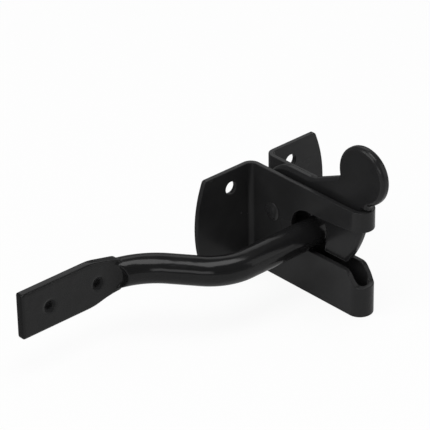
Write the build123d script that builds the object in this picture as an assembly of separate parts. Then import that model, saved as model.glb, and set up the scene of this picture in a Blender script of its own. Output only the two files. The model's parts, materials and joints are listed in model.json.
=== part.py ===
from build123d import *

import math
import os

# A self-latching gate latch: a folded sheet case on the gate post, a weighted tongue that
# falls across its slot, and a striker bar from the gate that lies in the slot.
# Millimetres. X runs out from the post, Y along the post's face, Z up. The origin is on the
# post's face, in the middle of the four post screws.

# Case sheet
sheet = 2.3
case_height = 50.8
case_width = 75.2
case_reach = 69.3
cheek_width = 12.0
fold_radius = 2.5
flange_arc = 59.0
flange_arc_z = 3.0
flange_corner = 1.5

# Post screws
post_hole = 6.0
post_pitch_y = 35.6
post_pitch_z = 36.0
post_hole_drop = 8.6

# Slot for the bar, open at the nose
slot_height = 18.5
slot_middle_z = 6.3
slot_end_x = 27.4
slot_flare = 1.6
slot_flare_start = 16.0
jaw_ramp_drop = 7.0
jaw_ramp_run = 5.2
jaw_ramp_foot = 3.2
jaw_top_round = 4.0
jaw_foot_round = 2.4

# Pivot
pivot_x = 15.5
pivot_z = 7.4
rivet_diameter = 6.3
rivet_fit = 0.03
rivet_head = 8.6
rivet_head_height = 1.1
rivet_rim_height = 0.35
pivot_clearance = 0.07

# Tongue
tongue_thickness = 4.8
tongue_edge = 1.2
eye_radius = 8.0
eye_front_round = 4.0
eye_to_hook = 6.5
arm_rise = 3.0
arm_back_round = 14.0
arm_climb_run = 16.5
arm_climb_angle = 24.0
arm_climb_round = 12.0
disc_radius = 13.2
disc_back = 4.5
disc_rise = 15.5
disc_blend = 2.2
stop_gap = 0.05
stop_overhang = 0.6
nose_gap = 0.7
hook_over_slot = -1.6
hook_back_round = 7.0
hook_front_round = 6.2
pawl_gap = 0.2
pawl_inner_bow = 1.1
pawl_inner_gap = 1.6
pawl_width = 13.7
pawl_outer_bow = 1.1
pawl_tip_round = 1.5

# Striker bar
bar_diameter = 13.0
bar_x = 35.8
bar_rest_gap = 0.02
bar_past_cheek = 10.0
bar_end_chamfer = 0.8
bar_straight = 34.3
bar_bend_angle = 52.0
bar_near_bend = 22.0
bar_far_bend = 34.0

# Flat at the bar's far end
flat_thickness = 4.5
flat_back = 0.65
flat_height = 21.1
flat_length = 51.8
flat_edge_round = 0.8
flat_taper = 14.0
flat_taper_round = 24.0
flat_neck = 14.4
shoulder_past_bend = 9.3
shoulder_arc = 8.5
shoulder_foot_round = 2.0
flat_hole = 4.4
flat_hole_rim = 7.0
flat_hole_sink = 0.7
flat_pitch = 25.8
flat_first_hole = 14.2

# Shared places, worked out from the sizes above
case_top = post_pitch_z / 2 + post_hole_drop
case_low = case_top - case_height
cheek_y = cheek_width / 2
cheek_inner_y = cheek_y - sheet
nose_centre_x = case_reach - cheek_y
slot_radius = slot_height / 2
slot_low = slot_middle_z - slot_radius
slot_high = slot_middle_z + slot_radius
slot_centre_x = slot_end_x + slot_radius
jaw_low = slot_low - jaw_ramp_drop
jaw_foot_x = case_reach - jaw_ramp_foot
bar_radius = bar_diameter / 2
bar_play = slot_radius - bar_radius - bar_rest_gap
bar_z = slot_middle_z - math.sqrt(bar_play**2 - max(slot_centre_x - bar_x, 0) ** 2)
past_part = 5.0


def plane_xz(face, y_low, y_high):
    """Solid of a face drawn in X and Z, from one Y to another."""
    return Pos(0, y_high, 0) * extrude(Plane.XZ * face, y_high - y_low)


def sheet_side(x_flange, half_gap, radius):
    """One side of the folded sheet in plan, from the left flange round the nose to the right one."""
    fold_x = sheet + fold_radius
    fold_y = cheek_y + fold_radius
    tip_y = case_width / 2
    return [
        Line((x_flange, -tip_y), (x_flange, -fold_y)),
        CenterArc((fold_x, -fold_y), radius, 180, -90),
        Line((fold_x, -half_gap), (nose_centre_x, -half_gap)),
        CenterArc((nose_centre_x, 0), half_gap, -90, 180),
        Line((nose_centre_x, half_gap), (fold_x, half_gap)),
        CenterArc((fold_x, fold_y), radius, -90, -90),
        Line((x_flange, fold_y), (x_flange, tip_y)),
    ]


def flange_outline():
    """Outline of both flanges in Y and Z: flat top and bottom, ends bowed outwards."""
    outline = Pos(0, (case_top + case_low) / 2) * Rectangle(case_width, case_height)
    for side in (-1, 1):
        centre_y = side * (case_width / 2 - flange_arc)
        outline &= Pos(centre_y, flange_arc_z) * Circle(flange_arc)
    return fillet(outline.vertices(), flange_corner)


def slot_outline():
    """Outline of the slot in X and Z: round end, flared top lip, ramp down to the jaw's nose."""
    mouth_x = case_reach + past_part
    ramp_top_x = jaw_foot_x - jaw_ramp_run
    flare_x = nose_centre_x - slot_flare_start
    lower = FilletPolyline(
        (slot_centre_x, slot_low),
        (ramp_top_x, slot_low),
        (jaw_foot_x, jaw_low),
        (mouth_x, jaw_low),
        radius=[jaw_top_round, jaw_foot_round],
    )
    upper = Polyline(
        (mouth_x, slot_high + slot_flare),
        (nose_centre_x, slot_high + slot_flare),
        (flare_x, slot_high),
        (slot_centre_x, slot_high),
    )
    end = ThreePointArc(
        (slot_centre_x, slot_high), (slot_end_x, slot_middle_z), (slot_centre_x, slot_low)
    )
    mouth = Line((mouth_x, jaw_low), (mouth_x, slot_high + slot_flare))
    return make_face([*lower.edges(), mouth, *upper.edges(), end])


def make_case():
    """Folded sheet case with its slot, four screw holes and the rivet's two holes."""
    front = sheet_side(sheet, cheek_y, fold_radius)
    back = sheet_side(0, cheek_inner_y, fold_radius + sheet)
    tip_y = case_width / 2
    ends = [Line((0, y), (sheet, y)) for y in (-tip_y, tip_y)]
    case = Pos(0, 0, case_low) * extrude(make_face(front + back + ends), case_height)

    waste = Rectangle(2 * case_width, 4 * case_height) - flange_outline()
    case -= Pos(-past_part, 0, 0) * extrude(Plane.YZ * waste, past_part + sheet + fold_radius / 2)

    case -= plane_xz(slot_outline(), -case_width, case_width)

    holes = GridLocations(post_pitch_y, post_pitch_z, 2, 2) * Circle(post_hole / 2)
    case -= Pos(-past_part, 0, 0) * extrude(Plane.YZ * Sketch(holes), 2 * past_part)

    rivet_hole = Pos(pivot_x, pivot_z) * Circle(rivet_diameter / 2 + rivet_fit)
    case -= plane_xz(rivet_hole, -cheek_width, cheek_width)
    return case


def tongue_outline():
    """Outline of the tongue in X and Z: eye, arm, thumb disc, stop shoulder, pawl and hook."""
    arm_top = case_top + arm_rise
    shoulder_z = case_top + stop_gap
    neck_x = case_reach - stop_overhang
    disc_x = case_reach - disc_back
    disc_z = case_top + disc_rise
    back_x = pivot_x - eye_radius
    eye_low = pivot_z - eye_radius
    hook_back_x = pivot_x + eye_to_hook
    hook_top = slot_high + hook_over_slot
    hook_front_x = bar_x + bar_radius + pawl_inner_gap
    pawl_low = slot_low + pawl_gap
    pawl_tip_x = hook_front_x - pawl_inner_bow + pawl_width
    face_y = tongue_thickness / 2 - tongue_edge
    front_x = nose_centre_x + math.sqrt(cheek_inner_y**2 - face_y**2) - nose_gap

    climb = math.tan(math.radians(arm_climb_angle))
    climb_start_x = disc_x - disc_radius - arm_climb_run
    climb_end_z = arm_top + (disc_x - climb_start_x) * climb

    back = FilletPolyline(
        (disc_x, climb_end_z),
        (climb_start_x, arm_top),
        (back_x, arm_top),
        (back_x, eye_low),
        (hook_back_x, eye_low),
        (hook_back_x, hook_top),
        (hook_front_x, hook_top),
        (hook_front_x, pivot_z),
        radius=[
            arm_climb_round,
            arm_back_round,
            eye_radius,
            eye_front_round,
            hook_back_round,
            hook_front_round,
        ],
    )
    inner_low = (hook_front_x - pawl_inner_bow, pawl_low)
    tip = (pawl_tip_x, pawl_low)
    lip = (front_x, slot_high + slot_flare)
    inner = TangentArc((hook_front_x, pivot_z), inner_low, tangent=(0, -1))
    outer = SagittaArc(tip, lip, -pawl_outer_bow)
    front = Polyline(
        lip,
        (front_x, shoulder_z),
        (neck_x, shoulder_z),
        (neck_x, disc_z),
        (disc_x, climb_end_z),
    )
    plate = make_face([*back.edges(), inner, Line(inner_low, tip), outer, *front.edges()])
    tips = [v for v in plate.vertices() if abs(v.Y - pawl_low) < stop_gap]
    plate = fillet(tips, pawl_tip_round)

    disc = Vector(disc_x, disc_z)
    plate += Pos(disc) * Circle(disc_radius)
    necks = [v for v in plate.vertices() if abs((Vector(v) - disc).length - disc_radius) < stop_gap]
    return fillet(necks, disc_blend)


def make_tongue():
    """Thick plate between the cheeks, with eased rims and the bore for the rivet."""
    half = tongue_thickness / 2
    tongue = plane_xz(tongue_outline(), -half, half)
    rims = [e for e in tongue.edges() if abs(abs(e.center().Y) - half) < stop_gap]
    tongue = chamfer(rims, tongue_edge)
    bore = Pos(pivot_x, pivot_z) * Circle(rivet_diameter / 2 + pivot_clearance)
    return tongue - plane_xz(bore, -cheek_width, cheek_width)


def make_rivet():
    """Rivet with a low domed head outside each cheek."""
    shank = rivet_diameter / 2
    head = rivet_head / 2
    rim_y = cheek_y + rivet_rim_height
    tip_y = cheek_y + rivet_head_height
    edges = []
    for s in (-1, 1):
        edges += [
            Line((shank, s * cheek_y), (head, s * cheek_y)),
            Line((head, s * cheek_y), (head, s * rim_y)),
            TangentArc((0, s * tip_y), (head, s * rim_y), tangent=(1, 0)),
        ]
    edges += [Line((shank, -cheek_y), (shank, cheek_y)), Line((0, -tip_y), (0, tip_y))]
    return Pos(pivot_x, 0, pivot_z) * revolve(make_face(edges), Axis.Y)


def bar_path():
    """Centre line of the bar in plan: straight through the slot, a flat S, and along the flat."""
    bend = math.radians(bar_bend_angle)
    flat_x = flat_back + flat_thickness / 2
    near_x = bar_x - bar_near_bend * (1 - math.cos(bend))
    near_y = -bar_straight - cheek_y - bar_near_bend * math.sin(bend)
    far_x = flat_x + bar_far_bend * (1 - math.cos(bend))
    far_y = near_y - (near_x - far_x) / math.tan(bend)
    flat_y = far_y - bar_far_bend * math.sin(bend)
    near_start = -bar_straight - cheek_y
    path = [
        Line((bar_x, cheek_y + bar_past_cheek), (bar_x, near_start)),
        CenterArc((bar_x - bar_near_bend, near_start), bar_near_bend, 0, -bar_bend_angle),
        Line((near_x, near_y), (far_x, far_y)),
        CenterArc((flat_x + bar_far_bend, flat_y), bar_far_bend, 180 - bar_bend_angle, bar_bend_angle),
        Line((flat_x, flat_y), (flat_x, flat_y - bar_radius)),
    ]
    return Wire(path), flat_y


def flat_outline(flat_end, shoulder_y):
    """Outline of the flat in Y and Z, tapered from its full height down to its neck."""
    half = flat_height / 2
    upper = FilletPolyline(
        (flat_end, half),
        (shoulder_y - flat_taper, half),
        (shoulder_y, flat_neck / 2),
        radius=flat_taper_round,
    )
    lower = mirror(upper, Plane.XZ)
    ends = [Line(upper @ t, lower @ t) for t in (0, 1)]
    return make_face([*upper.edges(), *lower.edges(), *ends])


def room_before_flat(flat_end, flat_y, shoulder_y):
    """Space in front of the flat, which the forging die clears: it follows the flat's bend."""
    front_x = flat_back + flat_thickness
    radius = bar_far_bend - flat_thickness / 2
    turn = math.degrees(math.asin((shoulder_y - flat_y) / radius))
    floor = [
        Line((front_x, flat_end - past_part), (front_x, flat_y)),
        CenterArc((front_x + radius, flat_y), radius, 180, -turn),
    ]
    corner = floor[1] @ 1
    top_x = front_x + 2 * bar_diameter
    sides = Polyline(corner, (top_x, corner.Y), (top_x, flat_end - past_part), floor[0] @ 0)
    plan = make_face([*floor, *sides.edges()])
    return Pos(0, 0, -flat_height) * extrude(plan, 2 * flat_height)


def make_bar():
    """Round bar with a flat S bend, forged into a flat with two countersunk holes."""
    path, flat_y = bar_path()
    start = Plane(origin=path @ 0, z_dir=path % 0)
    bar = sweep(start * Circle(bar_radius), path=path)
    end_face = bar.faces().sort_by(Axis.Y)[-1]
    bar = chamfer(end_face.edges(), bar_end_chamfer)

    shoulder_y = flat_y + shoulder_past_bend
    flat_end = shoulder_y - flat_length
    room = room_before_flat(flat_end, flat_y, shoulder_y)
    arc_y = shoulder_y - shoulder_arc
    press = Pos((flat_end + arc_y) / 2, 0) * Rectangle(arc_y - flat_end, 2 * shoulder_arc)
    press += Pos(arc_y, 0) * Circle(shoulder_arc)
    die = room & extrude(Plane.YZ * press, 2 * bar_diameter)
    foot = [e for e in die.edges() if e.geom_type == GeomType.BSPLINE]
    bar -= fillet(foot, shoulder_foot_round)
    bar -= Pos(flat_back - bar_diameter / 2, flat_y, 0) * Box(bar_diameter, flat_length, flat_height)

    outline = flat_outline(flat_end, shoulder_y)
    flat = Pos(flat_back, 0, 0) * extrude(Plane.YZ * outline, bar_diameter) - room
    rims = [e for e in flat.edges() if abs(e.tangent_at(0.5).X) < math.sin(math.radians(45))]
    flat = fillet(rims, flat_edge_round)
    bar += flat

    front_x = flat_back + flat_thickness
    for i in range(2):
        place = Pos(0, flat_end + flat_first_hole + i * flat_pitch, 0)
        drill = Pos(front_x, 0, 0) * Rot(0, 90, 0) * Cylinder(flat_hole / 2, bar_diameter)
        cone = Pos(front_x, 0, 0) * Rot(0, 90, 0) * Cone(
            flat_hole / 2, flat_hole_rim - flat_hole / 2, 2 * flat_hole_sink
        )
        bar -= place * (drill + cone)
    return Pos(0, 0, bar_z) * bar


def main():
    """Build every node and write its STEP file."""
    os.makedirs("parts", exist_ok=True)
    nodes = {
        "case": make_case(),
        "tongue": make_tongue(),
        "pivot_rivet": make_rivet(),
        "striker_bar": make_bar(),
    }
    for name, shape in nodes.items():
        export_step(shape, f"parts/{name}.step")
        print(name, round(shape.volume, 1), shape.bounding_box())


main()
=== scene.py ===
"""Looks of a gate latch: black enamel on its folded case, drop tongue, rivet and striker bar.

Every length is in metres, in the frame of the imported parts: X out from the gate post, Y along
its face, Z up.
"""

import json
import logging
import math
from collections.abc import Callable
from dataclasses import dataclass, field
from enum import Enum

import bpy
from mathutils import Matrix, Vector

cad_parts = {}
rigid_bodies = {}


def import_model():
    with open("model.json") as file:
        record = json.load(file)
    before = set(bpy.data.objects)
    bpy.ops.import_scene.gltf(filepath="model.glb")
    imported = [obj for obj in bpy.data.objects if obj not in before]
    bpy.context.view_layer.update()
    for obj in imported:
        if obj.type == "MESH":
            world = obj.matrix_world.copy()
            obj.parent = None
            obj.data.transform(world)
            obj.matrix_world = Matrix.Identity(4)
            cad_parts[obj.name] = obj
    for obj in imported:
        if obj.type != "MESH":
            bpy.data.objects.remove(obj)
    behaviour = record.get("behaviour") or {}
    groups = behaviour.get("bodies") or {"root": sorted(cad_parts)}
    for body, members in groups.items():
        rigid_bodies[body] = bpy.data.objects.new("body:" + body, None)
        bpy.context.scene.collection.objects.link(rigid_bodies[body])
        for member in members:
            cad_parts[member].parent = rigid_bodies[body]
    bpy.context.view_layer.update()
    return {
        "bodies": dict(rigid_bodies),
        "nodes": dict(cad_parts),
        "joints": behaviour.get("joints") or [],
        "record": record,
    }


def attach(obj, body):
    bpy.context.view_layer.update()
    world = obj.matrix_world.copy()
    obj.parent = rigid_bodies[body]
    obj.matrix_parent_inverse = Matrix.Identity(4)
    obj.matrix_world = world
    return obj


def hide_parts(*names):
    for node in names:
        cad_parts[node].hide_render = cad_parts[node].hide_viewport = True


log = logging.getLogger("gate_latch")

# Sockets of a Mix node that mixes colours, and of a Mix Shader node. Their names aren't unique.
MIX_FIRST, MIX_SECOND, MIX_RESULT = 6, 7, 2
SHADER_FIRST, SHADER_SECOND = 1, 2

# Middle height of the striker bar's forged flat.
FLAT_MIDDLE_Z = 0.003706


class Wire:
    """A shader socket that takes part in arithmetic and adds the Math nodes for it."""

    def __init__(self, sketch: "ShaderSketch", socket: bpy.types.NodeSocket | None) -> None:
        """Keeps the socket and the sketch that it belongs to.

        Args:
            sketch: The sketch whose tree gets the new nodes.
            socket: The output socket that carries the value, or None for a node without outputs.
        """
        self.sketch = sketch
        self.socket = socket

    def _math(self, operation: str, first: "Wire | float", second: "Wire | float") -> "Wire":
        """Adds one Math node and returns its value."""
        return self.sketch.node("ShaderNodeMath", {"operation": operation}, {0: first, 1: second})

    def __add__(self, other: "Wire | float") -> "Wire":
        """Sum of two values."""
        return self._math("ADD", self, other)

    def __radd__(self, other: float) -> "Wire":
        """Sum with the plain number on the left."""
        return self._math("ADD", other, self)

    def __sub__(self, other: "Wire | float") -> "Wire":
        """Difference of two values."""
        return self._math("SUBTRACT", self, other)

    def __rsub__(self, other: float) -> "Wire":
        """Difference with the plain number on the left."""
        return self._math("SUBTRACT", other, self)

    def __mul__(self, other: "Wire | float") -> "Wire":
        """Product of two values."""
        return self._math("MULTIPLY", self, other)

    def __rmul__(self, other: float) -> "Wire":
        """Product with the plain number on the left."""
        return self._math("MULTIPLY", other, self)


class ShaderSketch:
    """A node tree that is written from Python expressions."""

    def __init__(self, tree: bpy.types.NodeTree) -> None:
        """Empties the tree, ready for new nodes.

        Args:
            tree: The node tree of a material or of the world.
        """
        self.tree = tree
        tree.nodes.clear()

    def node(
        self,
        kind: str,
        settings: dict[str, object] | None = None,
        inputs: dict[int | str, object] | None = None,
        output: int | str = 0,
    ) -> Wire:
        """Adds a node, sets it up and links it.

        Args:
            kind: The node's type, such as ShaderNodeBump.
            settings: Properties of the node, set before its sockets.
            inputs: A value or a Wire for each named or numbered input socket.
            output: The output socket that is returned.

        Returns:
            The chosen output of the new node.
        """
        made = self.tree.nodes.new(kind)
        for key, value in (settings or {}).items():
            setattr(made, key, value)
        for key, value in (inputs or {}).items():
            if isinstance(value, Wire):
                self.tree.links.new(value.socket, made.inputs[key])
            else:
                made.inputs[key].default_value = value
        return Wire(self, made.outputs[output] if made.outputs else None)

    def band(self, value: Wire, low: float, high: float, start: float, end: float) -> Wire:
        """Maps a value smoothly from one range to another.

        Args:
            value: The value to map.
            low: Value at which the result is start.
            high: Value at which the result is end.
            start: Result at and below low.
            end: Result at and above high.

        Returns:
            The mapped value.
        """
        return self.node(
            "ShaderNodeMapRange",
            {"interpolation_type": "SMOOTHSTEP"},
            {"Value": value, "From Min": low, "From Max": high, "To Min": start, "To Max": end},
        )

    def noise(self, place: Wire, size: float, detail: float, roughness: float = 0.5) -> Wire:
        """Soft noise around one half.

        Args:
            place: Coordinates that the noise reads.
            size: Width of one patch, in metres.
            detail: Octaves of finer noise on top.
            roughness: How strong each finer octave is, next to the one before it.

        Returns:
            The noise, from about 0 to 1.
        """
        return self.node(
            "ShaderNodeTexNoise",
            {"noise_dimensions": "3D"},
            {"Vector": place, "Scale": 1.0 / size, "Detail": detail, "Roughness": roughness},
        )


class Stock(Enum):
    """The metal under the enamel, with how uneven it leaves the surface, in metres."""

    ROLLED_SHEET = 1.0e-5
    CAST_PLATE = 1.6e-5
    FORGED_ROD = 1.2e-5
    HAMMERED_HEAD = 6.0e-4


@dataclass(frozen=True)
class GlossEnamel:
    """Black enamel from a dip tank, with a faint orange peel over the metal's own waves and dents.

    Attributes:
        name: Name of the material.
        stock: The metal under the enamel, which sets how high its waves are.
        deep: Colour where the coat is thick.
        thin: Colour where the coat is thin.
        specular: Level of the reflection.
        smooth: Roughness at the smoothest.
        dull: Roughness at the dullest.
        peel_size, peel_height, peel_detail: Grain of the orange peel.
        wave_size, wave_detail: Waves of the metal.
        dent_size, dent_depth, dent_detail: Shallow dents of the metal.
        patch_size, patch_detail: Patches of thick and thin coat.
        colour_patch: Noise levels between which deep turns to thin.
        rough_patch: Noise levels between which smooth turns to dull.
    """

    name: str
    stock: Stock
    deep: tuple[float, float, float, float] = (0.0165, 0.0165, 0.0169, 1.0)
    thin: tuple[float, float, float, float] = (0.0200, 0.0200, 0.0204, 1.0)
    specular: float = 0.14
    smooth: float = 0.18
    dull: float = 0.28
    peel_size: float = 0.0016
    peel_height: float = 1.6e-6
    peel_detail: float = 1.0
    wave_size: float = 0.009
    wave_detail: float = 2.0
    dent_size: float = 0.0042
    dent_depth: float = 1.2e-5
    dent_detail: float = 0.0
    patch_size: float = 0.018
    patch_detail: float = 3.0
    colour_patch: tuple[float, float] = (0.3, 0.7)
    rough_patch: tuple[float, float] = (0.25, 0.75)

    def make(self) -> bpy.types.Material:
        """Makes the material.

        Returns:
            The enamel as a material that reads Object coordinates.
        """
        material = bpy.data.materials.new(self.name)
        material.use_nodes = True
        sketch = ShaderSketch(material.node_tree)
        place = sketch.node("ShaderNodeTexCoord", output="Object")
        patch = sketch.noise(place, self.patch_size, self.patch_detail)

        thinness = sketch.band(patch, *self.colour_patch, 0.0, 1.0)
        colour = sketch.node(
            "ShaderNodeMix",
            {"data_type": "RGBA"},
            {"Factor": thinness, MIX_FIRST: self.deep, MIX_SECOND: self.thin},
            output=MIX_RESULT,
        )
        rough = sketch.band(patch, *self.rough_patch, self.smooth, self.dull)
        peel = sketch.noise(place, self.peel_size, self.peel_detail) * self.peel_height
        wave = sketch.noise(place, self.wave_size, self.wave_detail) * self.stock.value
        dent = sketch.noise(place, self.dent_size, self.dent_detail) * self.dent_depth
        height = peel + wave + dent
        # A distance of 1 makes the height count in metres.
        normal = sketch.node(
            "ShaderNodeBump", inputs={"Strength": 1.0, "Distance": 1.0, "Height": height}
        )
        shader = sketch.node(
            "ShaderNodeBsdfPrincipled",
            inputs={
                "Base Color": colour,
                "Roughness": rough,
                "Specular IOR Level": self.specular,
                "Normal": normal,
            },
        )
        sketch.node("ShaderNodeOutputMaterial", inputs={"Surface": shader})
        return material


@dataclass(frozen=True)
class Tail:
    """A tapered wedge of metal that fairs the back of the forged flat into the round rod.

    Attributes:
        back, front: X of its back and front faces.
        flat_end, rod_end: Y where it starts in the flat and where it ends in the rod.
        flat_half, rod_half: Half of its height at those two ends.
        middle_z: Height of its middle.
    """

    back: float
    front: float
    flat_end: float
    rod_end: float
    flat_half: float
    rod_half: float
    middle_z: float

    def add_to(self, piece: bpy.types.Object) -> None:
        """Adds the tail to a mesh as a closed lump, for the remesh to join.

        Args:
            piece: The active object.
        """
        depth, length = self.front - self.back, self.rod_end - self.flat_end
        middle = Vector(((self.back + self.front) / 2, self.flat_end + length / 2, self.middle_z))
        bpy.ops.object.mode_set(mode="EDIT")
        bpy.ops.mesh.select_all(action="DESELECT")
        bpy.ops.mesh.primitive_cube_add(size=1.0, location=middle)
        bpy.ops.transform.resize(value=(depth, length, 2 * self.flat_half))
        bpy.ops.object.mode_set(mode="OBJECT")
        for vertex in piece.data.vertices:
            vertex.select = vertex.select and vertex.co.y > middle.y
        bpy.ops.object.mode_set(mode="EDIT")
        bpy.ops.transform.resize(value=(1.0, 1.0, self.rod_half / self.flat_half))
        bpy.ops.object.mode_set(mode="OBJECT")


@dataclass
class SoftEdges:
    """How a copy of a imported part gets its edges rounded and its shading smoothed.

    Attributes:
        width: How far a rounded edge reaches into each face, or 0 for no rounding.
        tails: Wedges that the melt joins to the part.
        voxel: Size of the even skin's cells, or 0 for no melt.
        melts: Passes of smoothing over the skin.
        melt_factor: Strength of one pass.
        before_melt: What is done to the merged copy before its tails are added.
        segments: Faces across a rounded edge.
        sharp_angle: Degrees from which an edge is rounded.
        shade_margin: Degrees above the sharp angle up to which an edge is shaded smooth.
        merge: Distance within which loose corners are joined.
        flat_angle: Degrees within which faces count as flat.
    """

    width: float
    tails: tuple[Tail, ...] = ()
    voxel: float = 0.0
    melts: int = 0
    melt_factor: float = 0.5
    before_melt: Callable[[bpy.types.Object], None] | None = None
    segments: int = 3
    sharp_angle: float = 30.0
    shade_margin: float = 10.0
    merge: float = 1e-6
    flat_angle: float = 0.3

    def copy_of(self, node: bpy.types.Object, name: str) -> bpy.types.Object:
        """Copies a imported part, merges the copy, and rounds or melts its edges.

        Args:
            node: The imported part, which stays as it is.
            name: Name of the copy.

        Returns:
            The finished copy, at the origin with its place in its mesh.
        """
        piece = bpy.data.objects.new(name, node.data.copy())
        bpy.context.scene.collection.objects.link(piece)
        make_only_selected(piece)
        self._merge_faces()
        if self.before_melt:
            self.before_melt(piece)
        for tail in self.tails:
            tail.add_to(piece)
        self._round_edges(piece)
        self._melt(piece)
        self._smooth(piece)
        return piece

    def _merge_faces(self) -> None:
        """Joins the loose triangles and dissolves the lines across flat faces."""
        bpy.ops.object.mode_set(mode="EDIT")
        bpy.ops.mesh.select_all(action="SELECT")
        bpy.ops.mesh.customdata_custom_splitnormals_clear()
        bpy.ops.mesh.remove_doubles(threshold=self.merge)
        bpy.ops.mesh.dissolve_limited(angle_limit=math.radians(self.flat_angle))
        bpy.ops.object.mode_set(mode="OBJECT")

    def _round_edges(self, piece: bpy.types.Object) -> None:
        """Rounds every edge that is sharper than the sharp angle, unless the width is 0.

        Args:
            piece: The merged copy.
        """
        if not self.width:
            return
        bevel = piece.modifiers.new("rounded edges", "BEVEL")
        bevel.limit_method = "ANGLE"
        bevel.angle_limit = math.radians(self.sharp_angle)
        bevel.offset_type = "OFFSET"
        bevel.width = self.width
        bevel.segments = self.segments
        bevel.use_clamp_overlap = False
        bevel.miter_outer = "MITER_ARC"
        bpy.ops.object.modifier_apply(modifier=bevel.name)

    def _melt(self, piece: bpy.types.Object) -> None:
        """Melts a forged piece's corners round, unless the voxel is 0.

        Args:
            piece: The merged copy.
        """
        if not self.voxel:
            return
        skin = piece.modifiers.new("even skin", "REMESH")
        skin.mode = "VOXEL"
        skin.voxel_size = self.voxel
        bpy.ops.object.modifier_apply(modifier=skin.name)
        melt = piece.modifiers.new("melted corners", "SMOOTH")
        melt.factor = self.melt_factor
        melt.iterations = self.melts
        bpy.ops.object.modifier_apply(modifier=melt.name)

    def _smooth(self, piece: bpy.types.Object) -> None:
        """Shades the copy smooth, with flat faces kept flat.

        Args:
            piece: The copy with rounded or melted edges.
        """
        smooth_angle = math.radians(self.sharp_angle + self.shade_margin)
        bpy.ops.object.shade_smooth_by_angle(angle=smooth_angle)
        weighted = piece.modifiers.new("flat faces", "WEIGHTED_NORMAL")
        weighted.keep_sharp = True
        bpy.ops.object.modifier_apply(modifier=weighted.name)


def make_only_selected(piece: bpy.types.Object) -> None:
    """Deselects everything, then selects one object and makes it active.

    Args:
        piece: The object that the next operators act on.
    """
    bpy.ops.object.select_all(action="DESELECT")
    piece.select_set(True)
    bpy.context.view_layer.objects.active = piece


@dataclass
class PaintedPart:
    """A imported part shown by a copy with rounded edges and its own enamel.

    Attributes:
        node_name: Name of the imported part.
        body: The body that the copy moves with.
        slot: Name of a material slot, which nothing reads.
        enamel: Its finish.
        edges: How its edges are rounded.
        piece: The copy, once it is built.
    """

    node_name: str
    body: str
    slot: str
    enamel: GlossEnamel
    edges: SoftEdges
    piece: bpy.types.Object | None = field(default=None, init=False)

    def build(self, frame: dict) -> None:
        """Makes the shown copy and ties it to its body.
        """
        node = frame["nodes"][self.node_name]
        self.piece = self.edges.copy_of(node, f"{self.node_name}_painted")
        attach(self.piece, self.body)
        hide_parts(self.node_name)

    def dress(self, frame: dict) -> None:
        """Gives the copy and the hidden part the same enamel.
        """
        material = self.enamel.make()
        for owner in (self.piece, frame["nodes"][self.node_name]):
            owner.data.materials.clear()
            owner.data.materials.append(material)
        faces = len(self.piece.data.polygons)
        log.info("%s: %d faces in %s", self.piece.name, faces, material.name)


@dataclass
class Case(PaintedPart):
    """The folded sheet case on the gate post."""

    node_name: str = "case"
    body: str = "case"
    slot: str = "black_sheet"
    enamel: GlossEnamel = GlossEnamel("case enamel", Stock.ROLLED_SHEET)
    edges: SoftEdges = field(default_factory=lambda: SoftEdges(width=0.00035))


@dataclass
class Tongue(PaintedPart):
    """The drop tongue with its thumb disc."""

    node_name: str = "tongue"
    body: str = "tongue"
    slot: str = "black_tongue"
    enamel: GlossEnamel = GlossEnamel(
        "tongue enamel",
        Stock.CAST_PLATE,
        deep=(0.0125, 0.0125, 0.0129, 1.0),
        thin=(0.0155, 0.0155, 0.0159, 1.0),
        specular=0.17,
        smooth=0.15,
        dull=0.24,
        dent_depth=1.5e-5,
    )
    edges: SoftEdges = field(default_factory=lambda: SoftEdges(width=0.00055))


@dataclass
class Rivet(PaintedPart):
    """The rivet that the tongue turns on."""

    node_name: str = "pivot_rivet"
    body: str = "case"
    slot: str = "black_sheet"
    enamel: GlossEnamel = GlossEnamel(
        "rivet enamel",
        Stock.HAMMERED_HEAD,
        specular=0.30,
        smooth=0.10,
        dull=0.20,
        wave_size=0.0030,
    )
    edges: SoftEdges = field(default_factory=lambda: SoftEdges(width=0.00012))


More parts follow.
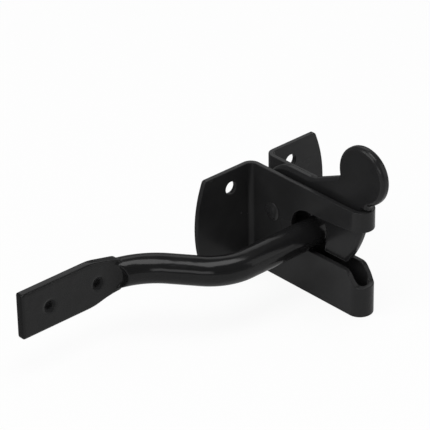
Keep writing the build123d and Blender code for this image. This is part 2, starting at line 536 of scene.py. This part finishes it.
@dataclass
class StrikerBar(PaintedPart):
    """The bent round bar with its forged flat.

    Attributes:
        hole_painted_reflection: Nearly glossless coat inside the screw holes, lighter than the
            bar's, as a painted reflection of their walls.
        free_end: Y of the flat's free end.
        first_hole: Distance of the first hole's axis from that end.
        hole_pitch: Distance between the axes of the two holes.
        hole_reach: Distance from an axis within which a face is painted as part of the hole.
        bore_reach: Distance from an axis within which a corner belongs to the bore.
        bore_shrink: Share of its width that a bore keeps before the melt opens it again.
    """

    node_name: str = "striker_bar"
    body: str = "case"
    slot: str = "black_bar"
    enamel: GlossEnamel = GlossEnamel(
        "bar enamel",
        Stock.FORGED_ROD,
        deep=(0.0072, 0.0072, 0.0074, 1.0),
        thin=(0.0096, 0.0096, 0.0099, 1.0),
        specular=0.19,
        smooth=0.12,
        dull=0.19,
        dent_depth=1.1e-4,
    )
    edges: SoftEdges = field(
        default_factory=lambda: SoftEdges(
            width=0.0,
            tails=(
                Tail(
                    back=0.00075,
                    front=0.0026,
                    flat_end=-0.0865,
                    rod_end=-0.0795,
                    flat_half=0.0070,
                    rod_half=0.0047,
                    middle_z=FLAT_MIDDLE_Z,
                ),
            ),
            voxel=0.0004,
            melts=9,
        )
    )
    # Painted reflection: a lighter colour with almost no gloss stands in for the light that the
    # hole walls reflect.
    hole_painted_reflection: GlossEnamel = GlossEnamel(
        "hole painted reflection",
        Stock.FORGED_ROD,
        deep=(0.0150, 0.0150, 0.0154, 1.0),
        thin=(0.0190, 0.0190, 0.0195, 1.0),
        specular=0.03,
        smooth=0.35,
        dull=0.45,
    )
    free_end: float = -0.135817
    first_hole: float = 0.0142
    hole_pitch: float = 0.0258
    hole_reach: float = 0.0030
    bore_reach: float = 0.0023
    bore_shrink: float = 0.80

    @property
    def hole_places(self) -> tuple[float, float]:
        """Y of each hole's axis."""
        first = self.free_end + self.first_hole
        return first, first + self.hole_pitch

    @staticmethod
    def _off_axis(point: Vector, place: float) -> float:
        """Distance of a point from the axis of the hole at a place along the flat."""
        return math.hypot(point.y - place, point.z - FLAT_MIDDLE_Z)

    def build(self, frame: dict) -> None:
        """Makes the shown copy, with bores that come out at their size after the melt.
        """
        self.edges.before_melt = self._shrink_bores
        super().build(frame)

    def _shrink_bores(self, piece: bpy.types.Object) -> None:
        """Draws the wall of each bore towards its axis, because melting opens a hole.

        Args:
            piece: The merged copy, which is active.
        """
        for place in self.hole_places:
            bpy.ops.object.mode_set(mode="EDIT")
            bpy.ops.mesh.select_all(action="DESELECT")
            bpy.ops.object.mode_set(mode="OBJECT")
            for vertex in piece.data.vertices:
                vertex.select = self._off_axis(vertex.co, place) < self.bore_reach
            bpy.ops.object.mode_set(mode="EDIT")
            bpy.ops.transform.resize(value=(1.0, self.bore_shrink, self.bore_shrink))
            bpy.ops.object.mode_set(mode="OBJECT")

    def dress(self, frame: dict) -> None:
        """Gives the bar its enamel, and the two countersunk holes a lighter, nearly glossless one
        as a painted reflection.
        """
        super().dress(frame)
        mesh = self.piece.data
        mesh.materials.append(self.hole_painted_reflection.make())
        # Faces near a hole's axis get the painted reflection.
        for face in mesh.polygons:
            nearest = min(self._off_axis(face.center, place) for place in self.hole_places)
            if nearest < self.hole_reach:
                face.material_index = len(mesh.materials) - 1


@dataclass(frozen=True)
class Softbox:
    """A square-cornered area lamp that faces the latch.

    Attributes:
        name: Name of the lamp.
        azimuth, elevation: Degrees, as in direction().
        distance: Metres from the origin.
        width, height: Size of the lamp. The width runs level.
        radiance: How bright its face is when it is seen, where 1 is white.
    """

    name: str
    azimuth: float
    elevation: float
    distance: float
    width: float
    height: float
    radiance: float

    def place(self) -> None:
        """Adds the lamp at its place round the latch."""
        lamp = bpy.data.lights.new(self.name, "AREA")
        lamp.shape = "RECTANGLE"
        lamp.size, lamp.size_y = self.width, self.height
        # A lamp of this power per area looks as bright as its radiance says.
        lamp.energy = self.radiance * math.pi * self.width * self.height
        holder = bpy.data.objects.new(self.name, lamp)
        away = direction(self.azimuth, self.elevation)
        holder.location = away * self.distance
        holder.rotation_mode = "QUATERNION"
        holder.rotation_quaternion = away.to_track_quat("Z", "Y")
        bpy.context.scene.collection.objects.link(holder)


def direction(azimuth: float, elevation: float) -> Vector:
    """Unit vector from the latch towards an azimuth and elevation.

    Args:
        azimuth: Degrees, 0 towards -Y and 90 towards +X.
        elevation: Degrees above the floor.

    Returns:
        The unit vector.
    """
    a, e = math.radians(azimuth), math.radians(elevation)
    return Vector((math.sin(a) * math.cos(e), -math.cos(a) * math.cos(e), math.sin(e)))


@dataclass
class Studio:
    """Pale floor, soft lamps, a pale world and the camera.

    Attributes:
        floor_size, floor_z, floor_colour: The floor as it is lit.
        floor_white: Share of plain white that the camera sees in place of the lit floor.
        floor_gloss: The same share in reflections of the floor's open side.
        floor_shade_in_reflections: Brightness of the post's side of the floor in reflections, a
            painted shade for the latch's shadow there.
        floor_shaded_side: X at which the post's side, painted darker in reflections, ends and at
            which the open side begins.
        world_low, world_high: Brightness of the world near the floor and overhead.
        world_rise: Heights on the unit sphere between which it changes.
        lamps: The soft lamps.
        azimuth, elevation, roll: Degrees that the camera is turned.
        camera_place, lens, sensor, shift, clip: The rest of the camera.
    """

    floor_size: float = 6.0
    floor_z: float = -0.0244
    floor_colour: tuple[float, float, float, float] = (0.78, 0.78, 0.78, 1.0)
    floor_white: float = 0.92
    floor_gloss: float = 0.2
    floor_shade_in_reflections: float = 0.15
    floor_shaded_side: tuple[float, float] = (-0.03, 0.06)
    world_low: float = 0.3
    world_high: float = 0.2
    world_rise: tuple[float, float] = (0.12, 0.35)
    lamps: tuple[Softbox, ...] = (
        Softbox("overhead softbox", 90, 82.5, 1.5, 1.35, 0.8, 4.6),
        Softbox("back softbox", 215, 37, 1.8, 1.6, 0.75, 0.8),
        Softbox("front softbox", 36, 18, 1.8, 0.8, 0.5, 2.6),
        Softbox("side softbox", 132, 20, 1.8, 1.0, 1.2, 1.0),
        Softbox("left softbox", -15, 40, 1.8, 1.4, 1.0, 3.0),
    )
    azimuth: float = 48.056
    elevation: float = 29.573
    roll: float = -0.914
    camera_place: tuple[float, float, float] = (0.73428, -0.68394, 0.56779)
    lens: float = 219.92
    sensor: float = 36.0
    shift: tuple[float, float] = (-0.0051, -0.0065)
    clip: tuple[float, float] = (0.01, 50.0)

    def build(self) -> None:
        """Builds the floor, the world, the lamps and the camera."""
        self._build_floor()
        self._build_world()
        for lamp in self.lamps:
            lamp.place()
        self._build_camera()

    def _build_floor(self) -> None:
        """Adds the pale floor, which reads as white and keeps the latch's shadow; in reflections
        its post's side glows dimmer, as painted shade.
        """
        bpy.ops.object.select_all(action="DESELECT")
        bpy.ops.mesh.primitive_plane_add(size=self.floor_size, location=(0, 0, self.floor_z))
        floor = bpy.context.active_object
        floor.name = "floor"
        material = bpy.data.materials.new("pale floor")
        material.use_nodes = True
        sketch = ShaderSketch(material.node_tree)
        matt = sketch.node("ShaderNodeBsdfDiffuse", inputs={"Color": self.floor_colour})
        place = sketch.node("ShaderNodeTexCoord", output="Object")
        side = sketch.node("ShaderNodeSeparateXYZ", inputs={"Vector": place}, output="X")
        open_side = sketch.band(side, *self.floor_shaded_side, 0.0, 1.0)
        camera, glossy, through = (
            sketch.node("ShaderNodeLightPath", output=name)
            for name in ("Is Camera Ray", "Is Glossy Ray", "Is Transmission Ray")
        )
        mirrored = glossy + through
        # Painted shade: reflections see the glow dimmed on the post's side of the floor, in place
        # of the latch's shadow there.
        strength = 1.0 - mirrored * (1.0 - open_side) * (1.0 - self.floor_shade_in_reflections)
        glow = sketch.node("ShaderNodeEmission", inputs={"Strength": strength})
        seen = camera + mirrored * (1.0 - open_side * (1.0 - self.floor_gloss))
        shader = sketch.node(
            "ShaderNodeMixShader",
            inputs={"Fac": seen * self.floor_white, SHADER_FIRST: matt, SHADER_SECOND: glow},
        )
        sketch.node("ShaderNodeOutputMaterial", inputs={"Surface": shader})
        floor.data.materials.append(material)

    def _build_world(self) -> None:
        """Makes a world that is pale near the floor and dims overhead."""
        world = bpy.data.worlds.new("studio")
        world.use_nodes = True
        sketch = ShaderSketch(world.node_tree)
        place = sketch.node("ShaderNodeTexCoord", output="Generated")
        rise = sketch.node("ShaderNodeSeparateXYZ", inputs={"Vector": place}, output="Z")
        level = sketch.band(rise, *self.world_rise, self.world_low, self.world_high)
        glow = sketch.node("ShaderNodeBackground", inputs={"Strength": level})
        sketch.node("ShaderNodeOutputWorld", inputs={"Surface": glow})
        bpy.context.scene.world = world

    def _build_camera(self) -> None:
        """Sets the camera to the photograph's viewing angle and framing."""
        data = bpy.data.cameras.new("camera")
        data.sensor_width, data.lens = self.sensor, self.lens
        data.shift_x, data.shift_y = self.shift
        data.clip_start, data.clip_end = self.clip
        camera = bpy.data.objects.new("camera", data)
        bpy.context.scene.collection.objects.link(camera)
        back = direction(self.azimuth, self.elevation)
        right = Vector((0, 0, 1)).cross(back).normalized()
        up = back.cross(right)
        turn = Matrix((right, up, back)).transposed() @ Matrix.Rotation(
            math.radians(self.roll), 3, "Z"
        )
        camera.matrix_world = Matrix.Translation(self.camera_place) @ turn.to_4x4()
        bpy.context.scene.camera = camera


def main() -> None:
    """Builds the latch and its studio."""
    logging.basicConfig(level=logging.INFO, format="%(name)s: %(message)s")
    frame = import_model()
    for part in (Case(), Tongue(), Rivet(), StrikerBar()):
        part.build(frame)
        part.dress(frame)
    Studio().build()
    bpy.context.scene.view_settings.view_transform = "Standard"


if __name__ == "__main__":
    main()
